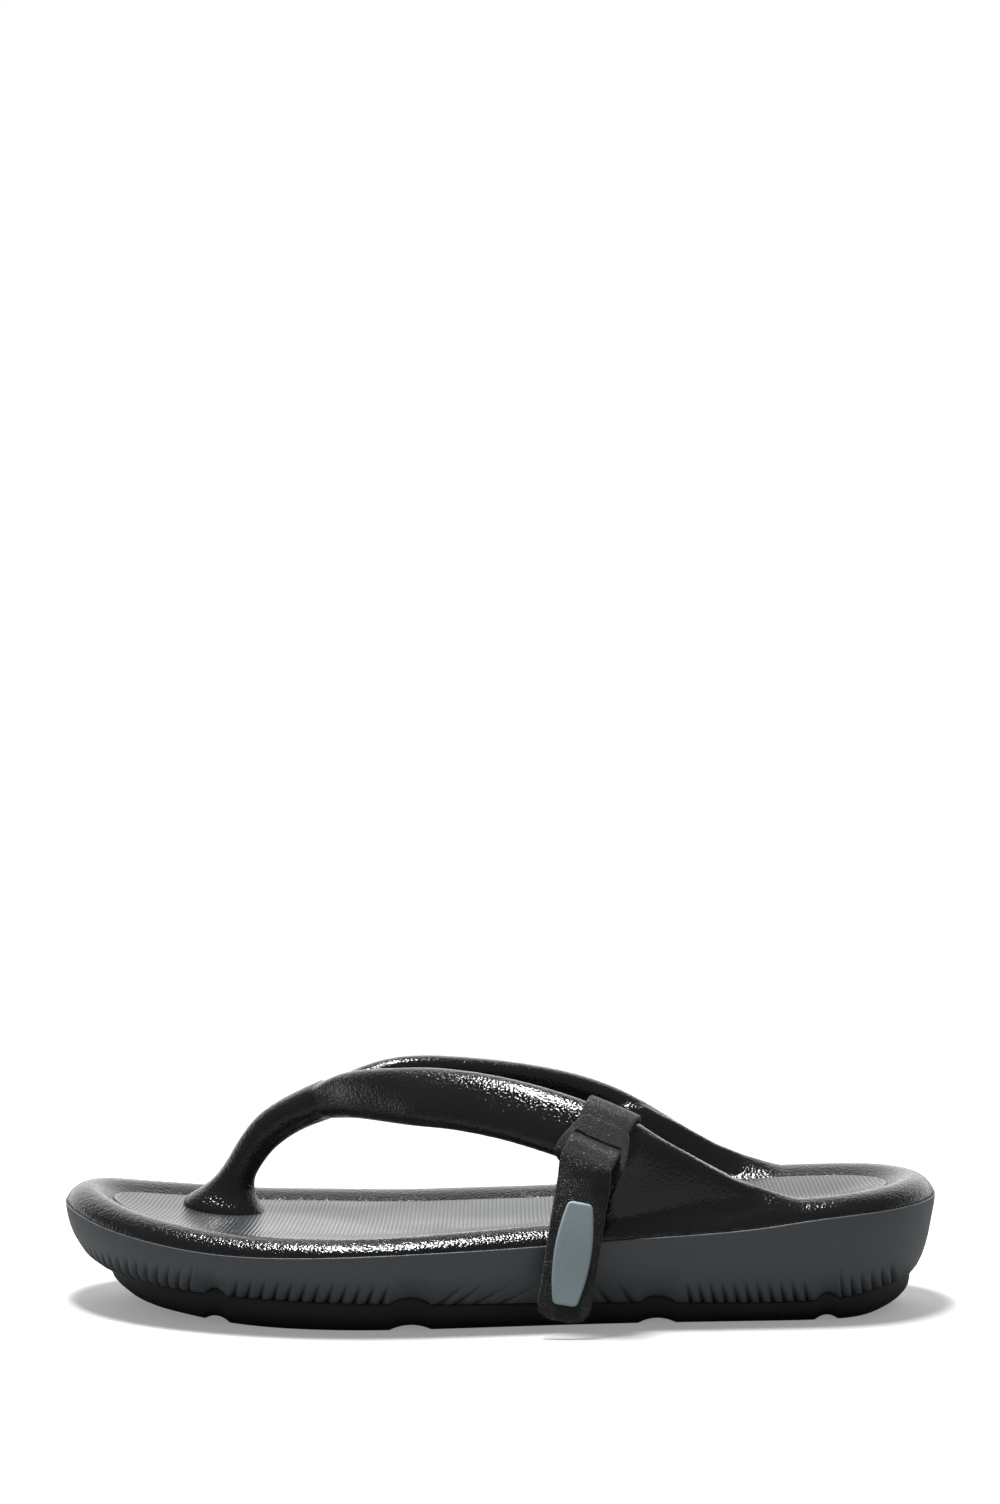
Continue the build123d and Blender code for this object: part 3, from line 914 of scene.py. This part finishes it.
def makePanel():
    place, outward = outlineLoop(panel["samples"])[:2]
    edge = place - outward * sole["panelInset"]
    lowX = edge[:, 0].min() + 0.02
    highX = edge[:, 0].max() - 0.02
    first = int(edge[:, 0].argmin())
    loop = np.roll(edge, -first, axis=0)
    last = int(loop[:, 0].argmax())
    sideA = loop[:last + 1]
    sideB = np.vstack([loop[last:], loop[:1]])[::-1]
    turn = np.linspace(0, math.pi, panel["stations"])
    x = (lowX + highX) / 2 - (highX - lowX) / 2 * np.cos(turn)
    yA = np.interp(x, sideA[:, 0], sideA[:, 1])
    yB = np.interp(x, sideB[:, 0], sideB[:, 1])
    low = np.minimum(yA, yB)
    high = np.maximum(yA, yB)
    even = np.linspace(0, 1, panel["across"])
    share = (1 - np.cos(math.pi * even)) / 4 + even / 2
    y = low[:, None] + (high - low)[:, None] * share[None]
    flat = np.stack([np.broadcast_to(x[:, None], y.shape), y], axis=2)
    inset = insetOf(flat.reshape(-1, 2), place).reshape(y.shape)
    z = footSurface(flat[:, :, 0], inset) + panel["proud"]
    fromEdge = inset - sole["panelInset"]
    z = z - panel["proud"] * (1 - smooth(fromEdge / 0.5))
    topRows = np.dstack([flat, z])
    under = topRows[:, ::-1][:, ::6].copy()
    under[:, :, 2] -= 1.6
    rows = np.concatenate([topRows, under], axis=1)
    body = gridSolid("footbedPanel", rows, capStart=True, capEnd=True)
    count = rows.shape[1]
    onTop = np.zeros((len(rows), count))
    onTop[:, 1:panel["across"] - 1] = 1
    away = np.zeros((len(rows), count))
    away[:, :panel["across"]] = fromEdge
    along = rows[:, :, 0] / (1 - panel["fan"] * rows[:, :, 1])
    setAttribute(body, "onTop", onTop.ravel())
    setAttribute(body, "fromEdge", away.ravel())
    setAttribute(body, "lengthwise", along.ravel())
    useTree(body, ridgeTree, {"Pitch": panel["ridgePitch"], "Height": panel["ridgeHeight"] * mm,
                              "Border": panel["border"], "Material": panelFoam})
    bakeModifiers(body)
    mergeDoubles(body, 0.002 * mm)
    shadeSmooth(body)
    dress(body, panelFoam, "sandal", "panel_foam", "footbed_panel")
    return body


panelPiece = makePanel()
print("panel made,", len(panelPiece.data.polygons), "faces")


keeper = {
    "thickness": 1.8,
    # where the strap runs in the keeper's own plane: up the arm's face, out from the arm
    "path": [(3.8, 7.85), (1, 7.85), (-3, 7.85), (-7, 7.75), (-10.2, 6.3), (-11.3, 3), (-11.3, -1.5),
             (-9.4, -5.2), (-5, -6.05), (0, -6.05), (5, -6.05), (9.4, -5.2), (11.3, -1.5),
             (11.3, 1.5), (9.4, 5.2), (5, 6.05),
             (0, 6.05), (-2.6, 6.05)],
    # half width of the head by distance from its end
    "headShape": [(0, 5.2), (0.35, 6.8), (1.0, 7.7), (2.5, 8.4), (5, 9.3), (8, 10.3), (11, 11.1),
                  (13.3, 11.4), (15.2, 10.9), (17, 9.6), (19, 8.3), (21, 8.0)],
    "headShift": 1.0,        # the head sits a little towards the heel
    "slitPlace": 7.8,        # distance of the slit from the head's end
    "slitHalfLength": 7.6,
    "slitWidth": 1.9,
    "slitDepth": 1.3,
}


def stripSection(halfWidth, thickness, count):
    # closed section of a flat strip with softened edges: (across, through, how much it is a cut edge)
    h = thickness / 2
    face = [((halfWidth - 0.35) * w, h, 0.0) for w in np.linspace(-1, 1, count)]
    edge = [(halfWidth - 0.08, h * 0.78, 0.7), (halfWidth, h * 0.25, 1.0), (halfWidth, -h * 0.25, 1.0),
            (halfWidth - 0.08, -h * 0.78, 0.7)]
    half = np.array(face + edge)
    return np.vstack([half, half * (-1, -1, 1)])


def inKeeper(upAmount, outAmount, alongAmount):
    flat = keeperOrigin + np.multiply.outer(upAmount, keeperUp) + np.multiply.outer(outAmount, keeperOut)
    return swing(flat, alongAmount)


def makeKeeperLoop():
    path = np.array(keeper["path"], float)
    knots = runLength(path)
    curve = cubicCurve(knots, path)
    at = np.concatenate([[0, 0.12, 0.3], np.arange(0.55, knots[-1], 0.42)])
    centre = curve(at)
    along = unit(np.gradient(centre, axis=0))
    through = np.stack([-along[:, 1], along[:, 0]], axis=1)
    if through[3, 1] < 0:
        through = -through
    rows = []
    edges = []
    for i in range(len(at)):
        half = np.interp(at[i], *zip(*keeper["headShape"]))
        shift = keeper["headShift"] * (1 - smooth((at[i] - 13) / 9))
        thickness = keeper["thickness"] * {0: 0.55, 1: 0.85}.get(i, 1)     # the end is worn round
        section = stripSection(half, thickness, 44)
        depth = section[:, 1].copy()
        # the slit, a short cut across the head
        bow = 0.5 * (section[:, 0] / keeper["slitHalfLength"]) ** 2
        slit = smooth(1.6 - np.abs(at[i] - keeper["slitPlace"] + bow) / (keeper["slitWidth"] / 2))
        slit = slit * smooth((keeper["slitHalfLength"] - np.abs(section[:, 0])) / 0.8) * (section[:, 1] > 0)
        depth -= slit * keeper["slitDepth"]
        upAmount = centre[i, 0] + depth * through[i, 0]
        outAmount = centre[i, 1] + depth * through[i, 1]
        rows.append(inKeeper(upAmount, outAmount, section[:, 0] + shift))
        edges.append(np.maximum(section[:, 2], 0.8 if i == 0 else 0))
    body = gridSolid("keeperLoop", rows, capStart=True, capEnd=True)
    setAttribute(body, "cutEdge", np.array(edges).ravel())
    shadeSmooth(body)
    dress(body, keeperLeather, "keeper_loop", "keeper_leather", "keeper_loop")
    return body


keeperLoopPiece = makeKeeperLoop()
print("keeper loop made")


tail = {
    "halfWidth": 8.3,
    "thickness": 1.8,
    "flatLength": 7.0,
    "twistLength": 10.0,
    "heelwards": [1.2, 1.2, 1.2, 1.2, 1.2, 1.1, 1.0, 0.6, 0.3, 0],     # sideways shift down the centre line
    "sag": (0.22, 8.0),        # the cup across the strip: its height, and how fast it changes downwards
    "foot": (19.5, -48.7, 5.6),
    "hinge": (29.1585, -44.9951, 60.5142),
    "endRadius": 5.2,
    "fibreDensity": 9.0e5,
    "fibreLength": 0.0011,
    "fibreThickness": 0.00007,
}


def tailCentre():
    # centre line from the slit, over the head's lower part, then down to the foot
    second = np.array(tail["hinge"]) - keeperUp * tail["flatLength"]
    foot = np.array(tail["foot"])
    down = unit(foot - second)
    level = unit(np.array([1.0, 0, 0]) - down * down[0])
    twist = tail["twistLength"]
    rest = np.linalg.norm(foot - second) - twist
    points = [inKeeper(up, out, 0) for up, out in ((-3.6, 7.3), (-4.6, 8.6), (-6.5, 9.75), (-9.0, 10.0))]
    points += [second, second + down * 5, second + down * twist, second + down * (twist + rest * 0.35),
               second + down * (twist + rest * 0.7), foot]
    points = np.array(points)
    points += np.array(tail["heelwards"])[:, None] * level
    points[7, 1] -= 0.35
    knots = runLength(points)
    return cubicCurve(knots, points), knots, level


def facing(across, along):
    # the way out from the foot's side, square to both
    outwards = np.cross(across, along)
    return outwards if outwards[1] < 0 else -outwards


def cup(at, across):
    height, slowness = tail["sag"]
    return height * math.sin(at / slowness + 0.6) * (across / tail["halfWidth"]) ** 2


def roundedEnd(half, toEnd, radius, least=0.0):
    # half width near an end whose corners are round
    if toEnd < radius:
        half = half - radius + math.sqrt(max(radius ** 2 - (radius - toEnd) ** 2, least))
    return half


def makeKeeperTail():
    curve, knots, level = tailCentre()
    total = knots[-1]
    at = np.concatenate([np.arange(0, total - 6, 0.5), total - 6 * (1 - np.linspace(0, 1, 26) ** 0.8)])
    centre = curve(at)
    along = unit(np.gradient(centre, axis=0))
    turnAt = smooth((at - knots[3]) / (knots[6] - knots[3] + 6))
    rows = []
    edges = []
    for i in range(len(at)):
        across = unit(keeperAlong * (1 - turnAt[i]) + level * turnAt[i])
        across = unit(across - along[i] * (across @ along[i]))
        toEnd = total - at[i]
        half = roundedEnd(tail["halfWidth"], toEnd, tail["endRadius"], 0.01)
        half = half - 0.8 * max(1 - at[i] / 3, 0)      # narrower inside the slit
        section = stripSection(half, tail["thickness"], 22)
        height = section[:, 1] + cup(at[i], section[:, 0])
        sideways = np.multiply.outer(section[:, 0], across)
        rows.append(centre[i] + sideways + np.multiply.outer(height, facing(across, along[i])))
        edges.append(np.maximum(section[:, 2], 0.8 * smooth(1 - toEnd / 0.7)))
    body = gridSolid("keeperTail", rows, capStart=True, capEnd=True)
    setAttribute(body, "cutEdge", np.array(edges).ravel())
    shadeSmooth(body)
    body.data.materials.append(keeperLeather)
    return body


tailPiece = makeKeeperTail()


def makeFibres(body):
    # a narrow strip of the end's faces gives the places for the loose fibres
    mesh = body.data
    low = min(v.co.z for v in mesh.vertices)
    keep = [p for p in mesh.polygons if p.center.z < low + 0.0042]
    used = sorted({v for p in keep for v in p.vertices})
    renumber = {v: i for i, v in enumerate(used)}
    vertices = [mesh.vertices[v].co for v in used]
    faces = [tuple(renumber[v] for v in p.vertices) for p in keep]
    fuzz = newObject("endFibres", vertices, faces)
    useTree(fuzz, fibreTree, {"Density": tail["fibreDensity"], "Length": tail["fibreLength"],
                              "Thickness": tail["fibreThickness"], "Seed": 4, "Material": keeperLeather})
    bakeModifiers(fuzz)
    setAttribute(fuzz, "cutEdge", np.full(len(fuzz.data.vertices), 0.5))
    return fuzz


fibrePiece = makeFibres(tailPiece)
tailPiece = joinPieces("keeperTail", [tailPiece, fibrePiece])
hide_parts("keeper_tail")
bendFrom = inKeeper(-4.0, 9.0, 0) * mm
bendTo = inKeeper(-12.0, 9.6, 0) * mm
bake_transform(tailPiece)
print("keeper tail made")


label = {
    "length": 32.0,
    "middleWidth": 11.5,
    "endWidth": 7.4,
    "corner": 1.3,
    "thickness": 0.42,
    "footMargin": 5.0,
}


def makeLabel():
    # a barrel-shaped print panel, lying on the tail
    curve, knots, level = tailCentre()
    length = label["length"]
    start = knots[-1] - label["footMargin"] - length
    near = np.array([0, 0.12, 0.4, 0.8, 1.3])
    rows = []
    for s in np.concatenate([near, np.linspace(2, length - 2, 36), length - near[::-1]]):
        at = start + s
        centre = curve(np.array([at]))[0]
        along = unit(curve(np.array([at + 0.2]))[0] - curve(np.array([at - 0.2]))[0])
        across = unit(level - along * (level @ along))
        outwards = facing(across, along)
        bulge = 1 - (s / (length / 2) - 1) ** 2
        fromEnd = min(s, length - s)
        half = (label["endWidth"] + (label["middleWidth"] - label["endWidth"]) * bulge) / 2
        half = roundedEnd(half, fromEnd, label["corner"])
        w = np.linspace(-1, 1, 25)
        x = w * half
        base = tail["thickness"] / 2 + cup(at, x)
        height = label["thickness"] * smooth(fromEnd / 0.35) ** 0.5
        lift = height * smooth((1 - np.abs(w)) * half / 0.35) ** 0.5
        sideways = centre + np.multiply.outer(x, across)
        top = sideways + np.multiply.outer(base + 0.02 + lift, outwards)
        under = sideways + np.multiply.outer(base - 0.3, outwards)
        rows.append(np.vstack([top, under[::-1]]))
    body = gridSolid("keeperLabel", rows, capStart=True, capEnd=True)
    mergeDoubles(body, 0.001 * mm)
    shadeSmooth(body)
    dress(body, labelPrint, "keeper_tail", "label_print", "keeper_label")
    return body


labelPiece = makeLabel()
print("label made")


studio = {
    "floorSize": 8.0,
    "floorDepth": 0.0001,
    "floorColour": 0.60,    # as the camera sees it
    "floorBounce": 0.22,    # as the object sees it
    "floorGlow": 0.24,
    "floorFade": (0.30, 0.75),   # beyond this the floor goes over into the white backdrop
    "back": 1.75,
    "left": 1.60,
    "right": 1.40,
    "front": 0.22,
    "above": 0.22,
    "keyPlace": (-0.12, -0.06, 1.20),
    "keyAim": (-0.02, 0.0, 0.0),
    "keySize": (0.34, 0.25),
    "keyPower": 27.0,
    "cameraPlace": (0.0005, -0.8849, 0.2000),
    "cameraTilt": 88.666,
    "cameraLens": 65.45,
}


def makeFloor():
    half = studio["floorSize"] / 2
    corners = [(x * half, y * half, -studio["floorDepth"]) for x, y in ((-1, -1), (1, -1), (1, 1), (-1, 1))]
    floor = newObject("floor", corners, [(0, 1, 2, 3)])
    material, tree, shader = newMaterial("studioFloor")
    seen = tree.nodes.new("ShaderNodeLightPath").outputs["Is Camera Ray"]
    bounce = studio["floorBounce"]
    tone = mathNode(tree, "MULTIPLY_ADD", seen, studio["floorColour"] - bounce, bounce)
    grey = addNode(tree, "ShaderNodeCombineColor", {0: tone, 1: tone, 2: tone})
    tree.links.new(grey.outputs[0], shader.inputs["Base Color"])
    shader.inputs["Roughness"].default_value = 0.9
    shader.inputs["Specular IOR Level"].default_value = 0.0
    where = tree.nodes.new("ShaderNodeTexCoord").outputs["Object"]
    away = addNode(tree, "ShaderNodeVectorMath", {0: where}, operation="LENGTH").outputs["Value"]
    far = rampNode(tree, away, *studio["floorFade"])
    glow = addNode(tree, "ShaderNodeEmission", {"Strength": times(tree, seen, studio["floorGlow"])})
    near = addNode(tree, "ShaderNodeAddShader", {0: shader.outputs[0], 1: glow.outputs[0]})
    white = tree.nodes.new("ShaderNodeEmission")
    pick = addNode(tree, "ShaderNodeMixShader", {"Fac": times(tree, seen, far), 1: near.outputs[0],
                                                 2: white.outputs[0]})
    tree.links.new(pick.outputs[0], tree.nodes["Material Output"].inputs["Surface"])
    floor.data.materials.append(material)


def makeWorld():
    # a bright backdrop behind, a wall of light at the toe and at the heel, a dim room in front and above
    world = bpy.data.worlds.new("studio")
    bpy.context.scene.world = world
    world.use_nodes = True
    tree = world.node_tree
    where = tree.nodes.new("ShaderNodeTexCoord").outputs["Generated"]
    x, y, z = addNode(tree, "ShaderNodeSeparateXYZ", {0: where}).outputs
    low = rampNode(tree, z, 0.20, 0.55, 1.0, 0.0)                # the walls of light stop at this height
    low = times(tree, low, rampNode(tree, y, -0.35, 0.1))        # and don't come round to the front
    toeWards = times(tree, times(tree, x, -1.0), low)
    heelWards = times(tree, x, low)
    light = rampNode(tree, z, 0.15, 0.85, studio["front"], studio["above"])
    for direction, start, full, level in ((toeWards, 0.60, 0.90, "left"), (heelWards, 0.60, 0.90, "right"),
                                          (y, 0.15, 0.75, "back")):
        light = mathNode(tree, "MAXIMUM", light, rampNode(tree, direction, start, full, 0.0, studio[level]))
    path = tree.nodes.new("ShaderNodeLightPath").outputs
    seen = mathNode(tree, "MAXIMUM", path["Is Camera Ray"], path["Is Transmission Ray"])
    blend = addNode(tree, "ShaderNodeMix", {"Factor": seen, "A": light, "B": 1.0})
    tree.links.new(blend.outputs["Result"], tree.nodes["Background"].inputs["Strength"])
    tree.nodes["Background"].inputs["Color"].default_value = (1, 1, 1, 1)


def makeLamp():
    lamp = bpy.data.lights.new("keyLamp", "AREA")
    lamp.shape = "RECTANGLE"
    lamp.size, lamp.size_y = studio["keySize"]
    lamp.energy = studio["keyPower"]
    aim = Vector(studio["keyAim"]) - Vector(studio["keyPlace"])
    placeInScene("keyLamp", lamp, studio["keyPlace"], aim.to_track_quat("-Z", "Y").to_euler())


def makeCamera():
    camera = bpy.data.cameras.new("camera")
    camera.lens = studio["cameraLens"]
    camera.sensor_width = 36
    camera.sensor_fit = "AUTO"
    camera.clip_start = 0.05
    camera.clip_end = 50
    tilt = (math.radians(studio["cameraTilt"]), 0, 0)
    bpy.context.scene.camera = placeInScene("camera", camera, studio["cameraPlace"], tilt)


makeFloor()
makeWorld()
makeLamp()
makeCamera()
bpy.context.scene.view_settings.view_transform = "Standard"
print("studio ready")
